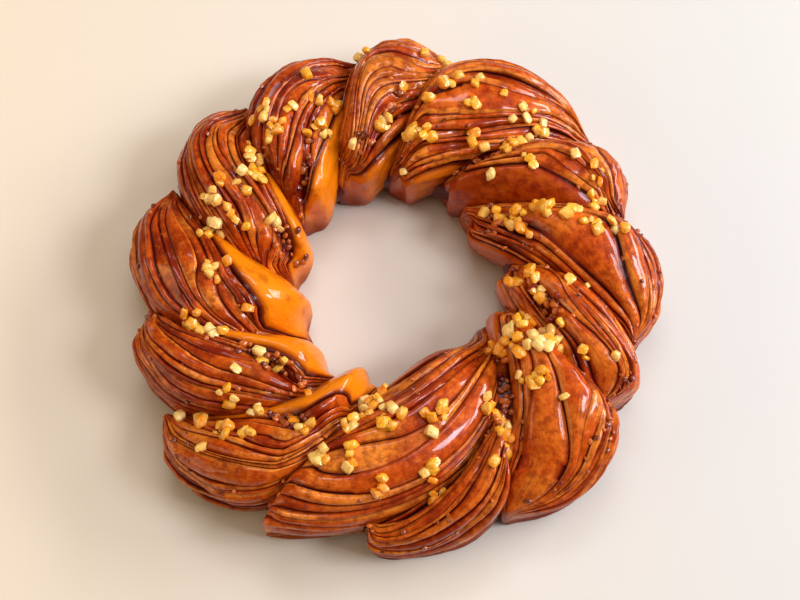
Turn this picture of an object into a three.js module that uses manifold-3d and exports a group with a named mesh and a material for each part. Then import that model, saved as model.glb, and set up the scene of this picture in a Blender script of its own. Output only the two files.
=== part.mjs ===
// A ring loaf twisted from a filled roll that was split lengthwise, so that its layers lie cut side up.
// The twist shows thirteen crossings. Each starts at a corner on the outer edge, from where its layers fan
// out, passes over the top and ends at the hole, under the next one's smooth skin. The layers are ridges
// along the crossings, and small cubes of candied peel are stuck to the glaze.
// Millimetres and degrees, +Z up, angles counter-clockwise seen from above, the loaf resting on z = 0.
import * as THREE from "three";
import { mergeVertices } from "three/addons/utils/BufferGeometryUtils.js";
import Module from "manifold-3d";

const wasm = await Module();
wasm.setup();

// Driving dimensions
const LOAF_HEIGHT = 58;
const RING_RADIUS = 98; // from the middle of the hole to the top of the ring
const RING_HALF_WIDTH = 54;
const RING_POWER = 2.4; // 2 would make the ring's section an ellipse, and more is squarer
const RING_MIDDLE = { x: -2.5, y: -1.7 }; // puts the middle of the whole outline on the origin
const CORE_HALF_WIDTH = 34; // dough between the strands, where they don't touch
const CORE_HEIGHT = 40;
const CORE_SIDES = 6;
const CORE_WALL = 0.5; // share of its height that stands upright at its edges

// One row for each crossing, in order round the ring. edge is the angle of its skin side at each of
// EDGE_RADII, and the reaches are the loaf's outer edge and the hole's edge there.
const EDGE_RADII = [130, 98, 60];
const CROSSINGS = [
  { edge: [345, 354.5, 368], outerReach: 149, innerReach: 50 },
  { edge: [374, 380, 405], outerReach: 147, innerReach: 56 },
  { edge: [397, 405.5, 425], outerReach: 155, innerReach: 54 },
  { edge: [434, 438, 449], outerReach: 152, innerReach: 55 },
  { edge: [458, 463, 475], outerReach: 149, innerReach: 53 },
  { edge: [488, 494, 500], outerReach: 147, innerReach: 44 },
  { edge: [516, 523, 533], outerReach: 146, innerReach: 42 },
  { edge: [548, 556.5, 566], outerReach: 144, innerReach: 50 },
  { edge: [575, 587, 601], outerReach: 154, innerReach: 47 },
  { edge: [602, 610, 621], outerReach: 151, innerReach: 44 },
  { edge: [627, 660, 685], outerReach: 148, innerReach: 90 },
  { edge: [656, 664.5, 685], outerReach: 155, innerReach: 54 },
  { edge: [687, 690, 708], outerReach: 146, innerReach: 56 },
];

// A crossing's form in plan, as shares of its place between two edges
const OUTER_FULLNESS = 3.7; // 2 would round its outer side off like an ellipse, and more fills the corner
const INNER_FULLNESS = 3.6;
const LAP_OVER = 0.2; // how far it reaches over the next crossing
const LAP_UNDER = 0.08; // how far its skin reaches over the one before
const START_NOTCH = 13; // how far its first corner lies inside its outer reach
const END_NOTCH = 11;
const NOTCH_POWER = 22; // more keeps the notches closer to the corners

// Its section and its ridges
const SECTION_POWER = 2.7;
const WIDEST_HEIGHT = 21; // where its section is widest, at its ends
const CREST_LIFT = 5; // how much higher that lies halfway
const END_DROP = 9; // how much lower its ends are than the ring's top there
const UNDERCUT = 7; // how far a section would reach below the flat underside
const BELOW_WIDTH = 400; // the space under the loaf, which cuts its underside flat
const BELOW_DEPTH = 40;
const STEPS_ALONG = 15;
const END_CROWDING = 0.11; // how much closer the steps lie towards the ends
const RIDGES = 6;
const RIDGE_DEPTH = 2.8;
const RIDGES_FADE = 0.3; // share of the way from an end over which the ridges grow to their full depth
const RIDGED_FROM = -25; // section angle on the outer flank where the cut layers start
const RIDGED_TO = 130; // section angle on the inner flank where the smooth skin takes over
const SMOOTH_POINTS = 6; // points on the skin and the underside, from there round to the layers again

// Candied peel: heaps on the crests and in the creases, as angle, radius and number of cubes.
const PEEL_SIZE = 5.2;
const PEEL_UNEVENNESS = 0.35; // how much a cube's corners and faces wander, as a share of its size
const PEEL_TILT = 0.45; // how far a cube leans at most, in radians
const PEEL_FLATNESS = 0.9; // height of a cube as a share of its side
const PEEL_SPREAD = 6.5; // how far a heap's cubes lie from its middle
const PEEL_SUNK = 0.22; // share of a cube that is below the glaze
const PEEL_HEAPS = [
  [10, 123, 2], [12, 109, 3], [17, 104, 3], [23, 124, 3], [20, 88, 3], [38, 97, 2], [20, 75, 4],
  [46, 121, 2], [51, 118, 2], [47, 109, 1], [66, 119, 2], [73, 112, 2], [64, 105, 2], [51, 100, 3],
  [59, 90, 2], [77, 79, 3], [92, 88, 3], [77, 137, 1], [108, 105, 3], [120, 106, 2], [115, 91, 3],
  [128, 112, 3], [128, 98, 3], [138, 103, 3], [146, 92, 3], [158, 105, 2], [161, 92, 3], [169, 101, 2],
  [155, 70, 2], [183, 92, 3], [196, 105, 2], [202, 98, 3], [220, 128, 2], [228, 121, 3], [221, 104, 2],
  [230, 103, 2], [219, 80, 2], [245, 98, 3], [253, 106, 3], [262, 108, 2], [269, 119, 2], [258, 88, 2],
  [266, 73, 4], [271, 84, 3], [282, 119, 3], [284, 95, 2], [289, 85, 2], [302, 112, 3], [304, 98, 4],
  [322, 101, 3], [335, 96, 3], [328, 79, 4], [336, 75, 3], [351, 80, 3], [355, 68, 1], [354, 100, 1],
];
const PEEL_LIMIT = 2; // cubes kept of each heap
const PEEL_SEED = 20261;

const CRUST = new THREE.MeshStandardMaterial({ color: 0x8a4020, roughness: 0.3, metalness: 0 });

// The angle of a crossing's skin side at a radius, on a curve through its three angles.
function edgeAngle({ edge }, radius) {
  return edge.reduce((sum, angle, i) => {
    const others = EDGE_RADII.filter((_, j) => j !== i);
    const share = others.reduce((part, other) => (part * (radius - other)) / (EDGE_RADII[i] - other), 1);
    return sum + angle * share;
  }, 0);
}

// The point in plan that lies a share of the way up from the hole and a share of the way on to the next
// crossing. drawn moves it outwards.
function planPoint(number, on, up, drawn) {
  const crossing = CROSSINGS[number];
  const radius = crossing.innerReach + up * (crossing.outerReach - crossing.innerReach) + drawn;
  const first = edgeAngle(crossing, radius);
  const next = edgeAngle(CROSSINGS[(number + 1) % CROSSINGS.length], radius);
  const last = next < first - 30 ? next + 360 : next;
  const angle = THREE.MathUtils.degToRad(first + on * (last - first));
  return new THREE.Vector3(radius * Math.cos(angle), radius * Math.sin(angle), 0);
}

// A crossing's upright section at a share of the way along it: its middle, its level direction towards the
// outer side, and its half sizes. It always reaches down to the flat underside.
function crossingSection(number, run) {
  const sine = Math.sin((Math.PI / 2) * run);
  const cosine = Math.cos((Math.PI / 2) * run);
  const outerPower = 2 / OUTER_FULLNESS;
  const innerPower = 2 / INNER_FULLNESS;
  const drawn = END_NOTCH * run ** NOTCH_POWER - START_NOTCH * (1 - run) ** NOTCH_POWER;
  const outer = planPoint(number, sine ** outerPower * (1 + LAP_OVER), cosine ** outerPower, drawn);
  const inner = planPoint(number, 1 - cosine ** innerPower - LAP_UNDER * sine, 1 - sine ** innerPower, drawn);
  const middle = outer.clone().add(inner).divideScalar(2);
  const bow = 1 - (2 * run - 1) ** 2;
  const off = Math.min(Math.abs(middle.length() - RING_RADIUS) / RING_HALF_WIDTH, 1);
  const top = LOAF_HEIGHT * Math.sqrt(1 - off ** RING_POWER) - END_DROP * (1 - bow) ** 2;
  const widest = WIDEST_HEIGHT + CREST_LIFT * bow;
  return {
    middle: middle.setZ(widest),
    outwards: outer.clone().sub(inner).normalize(),
    halfWidth: outer.distanceTo(inner) / 2,
    above: top - widest,
    below: widest + UNDERCUT,
  };
}

// The angles of a section's points and how deep each is sunk: 0 is the outer flank, 90 the top and 180 the
// flank at the hole. Every second point over the layers is a groove.
const sectionRound = [];
for (let i = 0; i <= 2 * RIDGES; i++) {
  const angle = RIDGED_FROM + ((RIDGED_TO - RIDGED_FROM) * i) / (2 * RIDGES);
  sectionRound.push({ angle, sunk: i % 2 === 1 ? RIDGE_DEPTH : 0 });
}
for (let i = 1; i <= SMOOTH_POINTS; i++) {
  const share = i / (SMOOTH_POINTS + 1);
  sectionRound.push({ angle: RIDGED_TO + (360 + RIDGED_FROM - RIDGED_TO) * share, sunk: 0 });
}

function sectionPoint(section, angle, sunk) {
  const radians = THREE.MathUtils.degToRad(angle);
  const squared = (value) => Math.sign(value) * Math.abs(value) ** (2 / SECTION_POWER);
  const across = squared(Math.cos(radians)) * (section.halfWidth - sunk);
  const halfHeight = Math.sin(radians) > 0 ? section.above : section.below;
  const up = squared(Math.sin(radians)) * (halfHeight - sunk);
  return section.middle.clone().addScaledVector(section.outwards, across).setZ(section.middle.z + up);
}

// One crossing as a closed mesh, its sections joined from corner to corner.
function crossingGeometry(number) {
  const points = [crossingSection(number, 0).middle, crossingSection(number, 1).middle];
  const faces = [];
  const round = sectionRound.length;
  const at = (step, j) => 2 + (step - 1) * round + (j % round);
  for (let step = 1; step < STEPS_ALONG; step++) {
    const share = step / STEPS_ALONG;
    const run = share - END_CROWDING * Math.sin(2 * Math.PI * share);
    const shown = Math.min(1, Math.min(share, 1 - share) / (RIDGES_FADE / 2)) ** 0.6;
    const section = crossingSection(number, run);
    for (const { angle, sunk } of sectionRound) points.push(sectionPoint(section, angle, sunk * shown));
  }
  for (let j = 0; j < round; j++) {
    faces.push(0, at(1, j), at(1, j + 1), 1, at(STEPS_ALONG - 1, j + 1), at(STEPS_ALONG - 1, j));
    for (let step = 1; step < STEPS_ALONG - 1; step++) {
      faces.push(at(step, j), at(step + 1, j), at(step, j + 1));
      faces.push(at(step, j + 1), at(step + 1, j), at(step + 1, j + 1));
    }
  }
  return new THREE.BufferGeometry().setFromPoints(points).setIndex(faces);
}

// The dough in the middle of the ring, with a flat underside.
function coreGeometry() {
  const profile = [new THREE.Vector2(RING_RADIUS - CORE_HALF_WIDTH, -UNDERCUT)];
  for (let i = 0; i <= CORE_SIDES; i++) {
    const angle = Math.PI * (1 - i / CORE_SIDES);
    const radius = RING_RADIUS + CORE_HALF_WIDTH * Math.cos(angle);
    profile.push(new THREE.Vector2(radius, CORE_HEIGHT * (CORE_WALL + (1 - CORE_WALL) * Math.sin(angle))));
  }
  profile.push(new THREE.Vector2(RING_RADIUS + CORE_HALF_WIDTH, -UNDERCUT), profile[0].clone());
  return new THREE.LatheGeometry(profile.reverse(), 2 * CROSSINGS.length).rotateX(Math.PI / 2);
}

function solidFrom(geometry) {
  geometry.deleteAttribute("normal");
  geometry.deleteAttribute("uv");
  const merged = mergeVertices(geometry, 1e-4);
  return new wasm.Manifold(
    new wasm.Mesh({
      numProp: 3,
      vertProperties: new Float32Array(merged.attributes.position.array),
      triVerts: new Uint32Array(merged.index.array),
    }),
  );
}

function geometryFrom(solid) {
  const mesh = solid.getMesh();
  const geometry = new THREE.BufferGeometry();
  geometry.setAttribute("position", new THREE.BufferAttribute(new Float32Array(mesh.vertProperties), 3));
  geometry.setIndex(new THREE.BufferAttribute(new Uint32Array(mesh.triVerts), 1));
  return geometry;
}

// The largest body of a solid. Sealed hollows and loose scraps are bodies of their own and are dropped.
function wholeBody(solid) {
  return solid.decompose().reduce((best, body) => (body.volume() > best.volume() ? body : best));
}

function twistedRing() {
  let ring = solidFrom(coreGeometry());
  CROSSINGS.forEach((_, number) => {
    ring = ring.add(solidFrom(crossingGeometry(number)));
  });
  const under = new THREE.BoxGeometry(BELOW_WIDTH, BELOW_WIDTH, BELOW_DEPTH);
  under.translate(0, 0, -BELOW_DEPTH / 2);
  return wholeBody(ring.subtract(solidFrom(under)));
}

// Evenly spread numbers from 0 to 1, the same on every run.
function seededRandom(seed) {
  let state = seed;
  return () => {
    state = (state * 16807) % 2147483647;
    return state / 2147483647;
  };
}

// A cube of peel with uneven corners, turned at random.
function peelGeometry(random) {
  const box = new THREE.BoxGeometry(1, 1, 1);
  box.deleteAttribute("normal");
  box.deleteAttribute("uv");
  const cube = mergeVertices(box);
  const corners = cube.attributes.position;
  const wobble = () => 1 + PEEL_UNEVENNESS * (random() - 0.5);
  for (let i = 0; i < corners.count; i++) {
    corners.setXYZ(i, corners.getX(i) * wobble(), corners.getY(i) * wobble(), corners.getZ(i) * wobble());
  }
  const size = PEEL_SIZE * wobble();
  const lean = () => PEEL_TILT * (2 * random() - 1);
  const turn = new THREE.Euler(lean(), lean(), Math.PI * random());
  const matrix = new THREE.Matrix4().makeRotationFromEuler(turn);
  return cube.scale(size, size, size * PEEL_FLATNESS).applyMatrix4(matrix);
}

// The peel cubes, each lowered onto the ring from above.
function withPeel(ring) {
  const random = seededRandom(PEEL_SEED);
  const crust = new THREE.Mesh(geometryFrom(ring), new THREE.MeshBasicMaterial({ side: THREE.DoubleSide }));
  const sight = new THREE.Raycaster();
  let topped = ring;
  for (const [angle, radius, heaped] of PEEL_HEAPS) {
    const count = Math.min(heaped, PEEL_LIMIT);
    const middle = new THREE.Vector2(radius, 0).rotateAround(new THREE.Vector2(), (angle * Math.PI) / 180);
    for (let i = 0; i < count; i++) {
      const way = (2 * Math.PI * (i + random() / 2)) / count;
      const off = count > 1 ? PEEL_SPREAD * (1 - random() / 3) : 0;
      const from = new THREE.Vector3(Math.cos(way), Math.sin(way), 0).multiplyScalar(off);
      from.add(new THREE.Vector3(middle.x, middle.y, 2 * LOAF_HEIGHT));
      sight.set(from, new THREE.Vector3(0, 0, -1));
      const [hit] = sight.intersectObject(crust);
      if (!hit) continue;
      const cube = peelGeometry(random);
      cube.translate(from.x, from.y, hit.point.z + PEEL_SIZE * (0.5 - PEEL_SUNK));
      topped = topped.add(solidFrom(cube));
    }
  }
  return wholeBody(topped);
}

const object = new THREE.Group();
const loaf = new THREE.Mesh(geometryFrom(withPeel(twistedRing())), CRUST);
loaf.name = "loaf";
loaf.position.set(RING_MIDDLE.x, RING_MIDDLE.y, 0);
object.add(loaf);

export default object;
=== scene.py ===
"""Looks of a glazed ring loaf, twisted from a filled roll that was split lengthwise.

The cut layers lie up and run along each crossing of the strand, the roll's smooth skin shows beside the
hole, cubes of candied peel stick to the syrup, and bits of the amber filling sit in the grooves.
Shapes are worked out in millimetres and written to the meshes in metres.
"""
import logging
import math
from dataclasses import dataclass
from enum import Enum

import bpy
import numpy as np
from mathutils import Euler, Matrix, Vector
from mathutils.bvhtree import BVHTree


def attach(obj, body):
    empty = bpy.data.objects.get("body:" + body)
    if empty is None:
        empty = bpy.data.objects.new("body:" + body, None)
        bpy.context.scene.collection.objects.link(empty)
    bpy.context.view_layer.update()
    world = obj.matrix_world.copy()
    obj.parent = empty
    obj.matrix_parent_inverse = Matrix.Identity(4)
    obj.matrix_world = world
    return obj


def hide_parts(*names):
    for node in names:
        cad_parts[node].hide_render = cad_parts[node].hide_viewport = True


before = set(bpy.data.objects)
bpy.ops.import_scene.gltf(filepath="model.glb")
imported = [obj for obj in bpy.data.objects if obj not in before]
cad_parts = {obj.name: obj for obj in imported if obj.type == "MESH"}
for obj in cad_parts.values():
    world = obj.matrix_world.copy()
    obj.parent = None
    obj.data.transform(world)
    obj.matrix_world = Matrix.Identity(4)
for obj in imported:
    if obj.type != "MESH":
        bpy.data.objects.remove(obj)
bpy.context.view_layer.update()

LOG = logging.getLogger("ring_loaf")
MM = 0.001
TINY = 1e-6
FULL_TURN = 360
NODE = "loaf"
BODY = "root"
RING_MIDDLE = np.array([-2.5, -1.7])
"""Where the middle of the hole lies in the frame, in millimetres."""
WAVE_SUM = 1.4
"""Divided by the root of a number of waves, the height at which their sum reaches about 1."""
MIX_FIRST, MIX_SECOND, MIX_RESULT = 6, 7, 2
"""Where a mix node has its two colours and what comes of them."""

Pair = tuple[float, float]
Triple = tuple[float, float, float]
Shade = tuple[int, int, int]
Random = np.random.Generator
Socket = bpy.types.NodeSocket


class Slot(Enum):
    """The record's material slots."""

    CRUST = "crust"
    PEEL = "peel"
    FILLING = "filling"


# Small helpers


def smooth_step(value: np.ndarray, low: float, high: float) -> np.ndarray:
    """Ease from 0 to 1 between two values.

    Args:
        value: What is compared.
        low: Where the result is still 0.
        high: Where it has become 1.

    Returns:
        The eased share, of the same shape as value.
    """
    share = np.clip((value - low) / (high - low), 0.0, 1.0)
    return share * share * (3.0 - 2.0 * share)


def level_way(angle: float) -> np.ndarray:
    """The level unit vector at an angle in degrees."""
    return np.array([math.cos(math.radians(angle)), math.sin(math.radians(angle))])


def polar(angle: float, radius: float) -> np.ndarray:
    """The level point at an angle in degrees and a radius from the middle of the hole."""
    return RING_MIDDLE + radius * level_way(angle)


class Waves:
    """Smooth seeded noise of about -1 to 1, a sum of sine waves."""

    def __init__(self, random: Random, wavelength: float, lines: int = 1, count: int = 5) -> None:
        """Draw the waves.

        Args:
            random: The source of random numbers.
            wavelength: The typical length of a wave.
            lines: How many unlike lines of noise there are.
            count: How many waves are added up in each.
        """
        self.rates = 2 * np.pi / (wavelength * random.uniform(0.6, 1.8, (lines, count)))
        self.phases = random.uniform(0, 2 * np.pi, (lines, count))
        self.height = WAVE_SUM / math.sqrt(count)

    def __call__(self, along: np.ndarray) -> np.ndarray:
        """Read every line at these places, as an array of lines by places."""
        angle = self.rates[:, :, None] * along[None, None, :] + self.phases[:, :, None]
        return self.height * np.sin(angle).sum(1)


class Ripples:
    """Seeded noise of about -1 to 1 over a surface, a sum of plane waves that are longer one way."""

    def __init__(self, random: Random, along: float, across: float, count: int = 9) -> None:
        """Draw the waves.

        Args:
            random: The source of random numbers.
            along: Their typical length along the strand.
            across: Their typical length across it.
            count: How many waves are added up.
        """
        turn = random.uniform(0, 2 * np.pi, count)
        size = random.uniform(0.6, 1.7, count)
        self.rate_along = 2 * np.pi * np.cos(turn) / (along * size)
        self.rate_across = 2 * np.pi * np.sin(turn) / (across * size)
        self.phases = random.uniform(0, 2 * np.pi, count)
        self.height = WAVE_SUM / math.sqrt(count)

    def __call__(self, along: np.ndarray, across: np.ndarray) -> np.ndarray:
        """Read the noise.

        Args:
            along: Places along the strand.
            across: Places across it.

        Returns:
            The noise at each place.
        """
        total = np.zeros(np.broadcast(along, across).shape)
        for rate_u, rate_v, phase in zip(self.rate_along, self.rate_across, self.phases):
            total += np.sin(rate_u * along + rate_v * across + phase)
        return self.height * total


# The crossings' forms


@dataclass(frozen=True)
class Crossing:
    """One crossing of the strands, from a corner at the ring's outer edge over the top to the hole.

    Its near edge, where the skin is, lies at three angles on three radii of the form. Angles are in degrees
    and lengths in millimetres. The layers are counted from the outer flank to the skin, and broad names
    those that are wider, each with its share of extra width. The skin's width is given near the outer corner,
    halfway and near the hole, and the last field says how much darker the layers are.
    """

    edge_outside: float
    edge_middle: float
    edge_inside: float
    outer_reach: float
    inner_reach: float
    layers: int
    skin_widths: Triple
    skin_tone: float
    broad: tuple[tuple[int, float], ...] = ()
    bake: float = 0.0


CROSSINGS = (
    Crossing(345, 354.5, 368, 149, 50, 20, (1, 1, 1), 0.35, ((13, 1.8), (14, 3.8), (15, 1.8))),
    Crossing(374, 380, 405, 147, 56, 15, (14, 25, 14), 0.16, ((5, 2.0), (9, 2.2))),
    Crossing(397, 405.5, 425, 155, 54, 25, (2, 4, 3), 0.6, ((7, 2.2), (13, 2.4), (17, 1.8))),
    Crossing(434, 438, 449, 152, 55, 20, (3, 5, 6), 0.7, ((7, 3.0), (10, 3.2), (11, 2.0))),
    Crossing(458, 463, 475, 149, 53, 20, (7, 10, 11), 0.88, ((8, 3.0), (12, 2.6)), 0.12),
    Crossing(488, 494, 500, 147, 44, 24, (6, 9, 11), 0.92, ((8, 2.4), (15, 1.8)), 0.18),
    Crossing(516, 523, 533, 146, 42, 20, (9, 21, 29), 1.0, ((11, 3.4), (12, 2.4), (7, 1.8)), 0.24),
    Crossing(548, 556.5, 566, 144, 50, 22, (8, 17, 20), 0.92, ((9, 2.2), (16, 1.6)), 0.18),
    Crossing(575, 587, 601, 154, 47, 23, (9, 25, 26), 0.88, ((15, 1.8), (6, 1.6))),
    Crossing(604, 610, 621, 151, 44, 19, (1, 4, 7), 0.4,
             ((1, 3.0), (6, 2.2), (7, 1.8), (11, 2.4), (15, 1.8))),
    Crossing(630, 660, 685, 148, 90, 15, (1, 1, 1), 0.4, ((4, 2.2), (8, 2.4), (11, 1.8))),
    Crossing(656, 664.5, 685, 155, 54, 21, (6, 8, 9), 0.5, ((16, 2.0), (17, 6.0), (8, 1.6))),
    Crossing(687, 690, 708, 146, 56, 19, (1, 2, 3), 0.5, ((7, 3.0), (8, 2.6), (13, 1.8))),
)


@dataclass(frozen=True)
class CrossingForm:
    """The smooth form of a crossing, without its layers, in millimetres.

    In plan it fills the place between its own near edge and the next crossing's, with the corner where it
    starts and the corner where it ends drawn to a point and the other two rounded. The radii are those at
    which the near edge's three angles are given.
    """

    crossing: Crossing
    following: Crossing
    radii: Triple = (130.0, 98.0, 60.0)
    ring_radius: float = 98.0
    ring_half_width: float = 54.0
    ring_power: float = 2.4
    height: float = 58.0
    middle_height: float = 21.0
    crest_lift: float = 5.0
    end_drop: float = 9.0
    start_notch: float = 13.0
    end_notch: float = 9.0
    start_power: float = 22.0
    end_power: float = 14.0
    outer_fullness: float = 3.7
    inner_fullness: float = 3.6
    lap_over: float = 0.2
    lap_under: float = 0.08
    flank_power: float = 2.6
    skin_power: float = 2.1
    inner_drop: float = 8.0
    inner_sink: float = 8.0
    undercut: float = 7.0
    least_half_width: float = 0.05
    least_rise: float = 2.0
    corner_skin: float = 0.5
    skin_places: tuple[float, ...] = (0.0, 0.15, 0.5, 0.85)
    skin_angles: Pair = (40.0, 178.0)
    least_layers: float = 0.6
    skin_spread: float = 30.0

    def near_edge(self, crossing: Crossing, radius: np.ndarray) -> np.ndarray:
        """Follow a crossing's near edge, a curve through its three angles.

        Args:
            crossing: The crossing.
            radius: Radii from the middle of the hole.

        Returns:
            The edge's angle at each radius.
        """
        angle = np.zeros_like(radius)
        for edge, at in zip((crossing.edge_outside, crossing.edge_middle, crossing.edge_inside), self.radii):
            first, second = (other for other in self.radii if other != at)
            angle += edge * (radius - first) * (radius - second) / (at - first) / (at - second)
        return angle

    def sides(self, run: np.ndarray) -> tuple[np.ndarray, np.ndarray]:
        """Both sides of the form in plan.

        Args:
            run: Shares of the way, from 0 at the outer corner to 1 at the inner one.

        Returns:
            The level points of the outer side and of the skin's side, about the middle of the hole.
        """
        turn = np.pi / 2 * run
        sine, cosine = np.abs(np.sin(turn)), np.abs(np.cos(turn))
        outer_power, inner_power = 2 / self.outer_fullness, 2 / self.inner_fullness
        outer_plan = (sine ** outer_power * (1 + self.lap_over), cosine ** outer_power)
        inner_plan = (1 - cosine ** inner_power - self.lap_under * sine, 1 - sine ** inner_power)
        inner, outer = self.crossing.inner_reach, self.crossing.outer_reach
        drawn = self.end_notch * run ** self.end_power - self.start_notch * (1 - run) ** self.start_power
        sides = []
        for over, share in (outer_plan, inner_plan):
            radius = inner + share * (outer - inner) + drawn
            first, last = self.near_edge(self.crossing, radius), self.near_edge(self.following, radius)
            last = last + FULL_TURN * (last < first - FULL_TURN / 2)
            angle = np.radians(first + over * (last - first))
            sides.append(np.stack([radius * np.cos(angle), radius * np.sin(angle)], -1))
        return sides[0], sides[1]

    def skin_edge(self, run: np.ndarray) -> np.ndarray:
        """Find where the skin starts, from its width across the form.

        Args:
            run: Shares of the way along the crossing.

        Returns:
            The section angle at each place, in degrees.
        """
        outside, inside = self.sides(run)
        widths = self.crossing.skin_widths
        half = np.maximum(np.linalg.norm(outside - inside, axis=1) / 2, 1.0)
        width = np.interp(run, self.skin_places, (self.corner_skin, *widths))
        left = np.clip(1 - width / half, self.least_layers - widths[2] / self.skin_spread, 1.0)
        cosine = np.sign(left) * np.abs(left) ** (self.skin_power / 2)
        return np.clip(np.degrees(np.arccos(-cosine)), *self.skin_angles)

    def surface(self, run: np.ndarray, degrees: np.ndarray, out: np.ndarray) -> np.ndarray:
        """Points on the sections, raised or sunk from their outline.

        Args:
            run: Shares of the way along the crossing.
            degrees: Section angles, one row for each place: 0 is the outer flank and 90 the top.
            out: How far each point stands out of the outline.

        Returns:
            The points, rows by columns by three.
        """
        outside, inside = self.sides(run)
        middle = (outside + inside) / 2
        width = np.linalg.norm(outside - inside, axis=1)
        outwards = (outside - inside) / np.maximum(width, TINY)[:, None]
        width = np.maximum(width / 2, self.least_half_width)[:, None]
        bow = 1 - (2 * run - 1) ** 2
        bottom = self.middle_height + self.crest_lift * bow - self.inner_sink * run * (1 - bow)
        off = np.clip(np.abs(np.linalg.norm(middle, axis=1) - self.ring_radius) / self.ring_half_width, 0, 1)
        top = self.height * (1 - off ** self.ring_power) ** 0.5
        top = top - (self.end_drop + self.inner_drop * run) * (1 - bow) ** 2
        above = np.maximum(top - bottom, self.least_rise)[:, None]
        cos, sin = np.cos(np.radians(degrees)), np.sin(np.radians(degrees))
        tall = np.where(sin > 0, above, (bottom + self.undercut)[:, None])
        power = np.where(cos > 0, self.flank_power, self.skin_power)
        across = np.sign(cos) * np.abs(cos) ** (2 / power)
        up = np.sign(sin) * np.abs(sin) ** (2 / power)
        face_x = np.sign(across) * np.abs(across) ** (power - 1) / width
        face_z = np.sign(up) * np.abs(up) ** (power - 1) / tall
        length = np.hypot(face_x, face_z)
        level = across * width + out * face_x / length
        points = np.empty(degrees.shape + (3,))
        points[..., :2] = middle[:, None, :] + outwards[:, None, :] * level[..., None]
        points[..., 2] = bottom[:, None] + up * tall + out * face_z / length
        return points


# Nodes of the finishes


@dataclass(frozen=True)
class Grain:
    """A noise, its scale in waves a metre, or stretched over a piece's UV map, as waves across and along."""

    scale: float | Socket = 1.0
    detail: float = 3.0
    roughness: float = 0.55
    distortion: float = 0.0
    stretch: Triple | None = None


class Nodes:
    """Short ways to place and join the nodes of one material or group."""

    def __init__(self, tree: bpy.types.NodeTree) -> None:
        """Keep the tree that the nodes go into."""
        self.tree = tree

    def add(self, kind: str, **settings: object) -> bpy.types.Node:
        """Place a node.

        Args:
            kind: Its type.
            settings: Its properties.

        Returns:
            The node.
        """
        node = self.tree.nodes.new(kind)
        for name, value in settings.items():
            setattr(node, name, value)
        return node

    def put(self, node: bpy.types.Node, **inputs: object) -> bpy.types.Node:
        """Set or join a node's inputs.

        Args:
            node: The node.
            inputs: Values or sockets, under the inputs' names with underscores for spaces.

        Returns:
            The same node.
        """
        for name, value in inputs.items():
            self.feed(node.inputs[name.replace("_", " ")], value)
        return node

    def feed(self, socket: Socket, value: object) -> None:
        """Join a socket to another, or give it a value.

        Args:
            socket: An input.
            value: An output or a value.
        """
        if isinstance(value, Socket):
            self.tree.links.new(value, socket)
        else:
            socket.default_value = value

    def attribute(self, name: str) -> Socket:
        """A number stored on the mesh's vertices."""
        return self.add("ShaderNodeAttribute", attribute_name=name).outputs["Fac"]

    def noise(self, vector: Socket, grain: Grain) -> Socket:
        """Read a noise.

        Args:
            vector: Where it is read.
            grain: What it is like.

        Returns:
            Its value, of about 0 to 1.
        """
        if grain.stretch:
            stretched = self.put(self.add("ShaderNodeMapping"), Vector=vector, Scale=grain.stretch)
            vector = stretched.outputs["Vector"]
        node = self.put(self.add("ShaderNodeTexNoise"), Vector=vector, Scale=grain.scale, Detail=grain.detail,
                        Roughness=grain.roughness, Distortion=grain.distortion)
        return node.outputs["Fac"]

    def span(self, value: Socket, low: float, high: float, at_low: float = 0.0,
             at_high: float = 1.0) -> Socket:
        """Move a value from one range to another and hold it there.

        Args:
            value: The value.
            low: The lower end of its range.
            high: The upper end.
            at_low: What comes of the lower end.
            at_high: What comes of the upper end.

        Returns:
            The new value.
        """
        node = self.add("ShaderNodeMapRange", clamp=True)
        self.put(node, Value=value, From_Min=low, From_Max=high, To_Min=at_low, To_Max=at_high)
        return node.outputs["Result"]

    def maths(self, operation: str, first: object, second: object) -> Socket:
        """Work out one operation.

        Args:
            operation: Its name.
            first: A number or a socket.
            second: Another.

        Returns:
            The result.
        """
        node = self.add("ShaderNodeMath", operation=operation)
        self.feed(node.inputs[0], first)
        self.feed(node.inputs[1], second)
        return node.outputs[0]

    def blend(self, share: Socket, first: object, second: object) -> Socket:
        """Mix two colours.

        Args:
            share: The second one's share.
            first: A colour or a socket.
            second: Another.

        Returns:
            The mix.
        """
        node = self.add("ShaderNodeMix", data_type="RGBA", blend_type="MIX", clamp_result=True)
        self.feed(node.inputs[0], share)
        self.feed(node.inputs[MIX_FIRST], colour(first))
        self.feed(node.inputs[MIX_SECOND], colour(second))
        return node.outputs[MIX_RESULT]

    def over(self, base: object, shade: object, value: Socket, low: float, high: float,
             at_low: float = 0.0, at_high: float = 1.0) -> Socket:
        """Lay one colour over another, by how high a value is.

        Args:
            base: The colour below.
            shade: The colour on top.
            value: What its share goes by.
            low: The lower end of the value's range.
            high: The upper end.
            at_low: The share at the lower end.
            at_high: The share at the upper end.

        Returns:
            The mix.
        """
        return self.blend(self.span(value, low, high, at_low, at_high), base, shade)

    def bump(self, height: Socket, distance: float, strength: float, normal: Socket | None = None) -> Socket:
        """Raise and sink a surface.

        Args:
            height: How high each place is.
            distance: The height of 1, in metres.
            strength: How strongly it shows.
            normal: A normal to start from.

        Returns:
            The new normal.
        """
        node = self.put(self.add("ShaderNodeBump"), Height=height, Distance=distance, Strength=strength)
        if normal is not None:
            self.feed(node.inputs["Normal"], normal)
        return node.outputs["Normal"]


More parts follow.
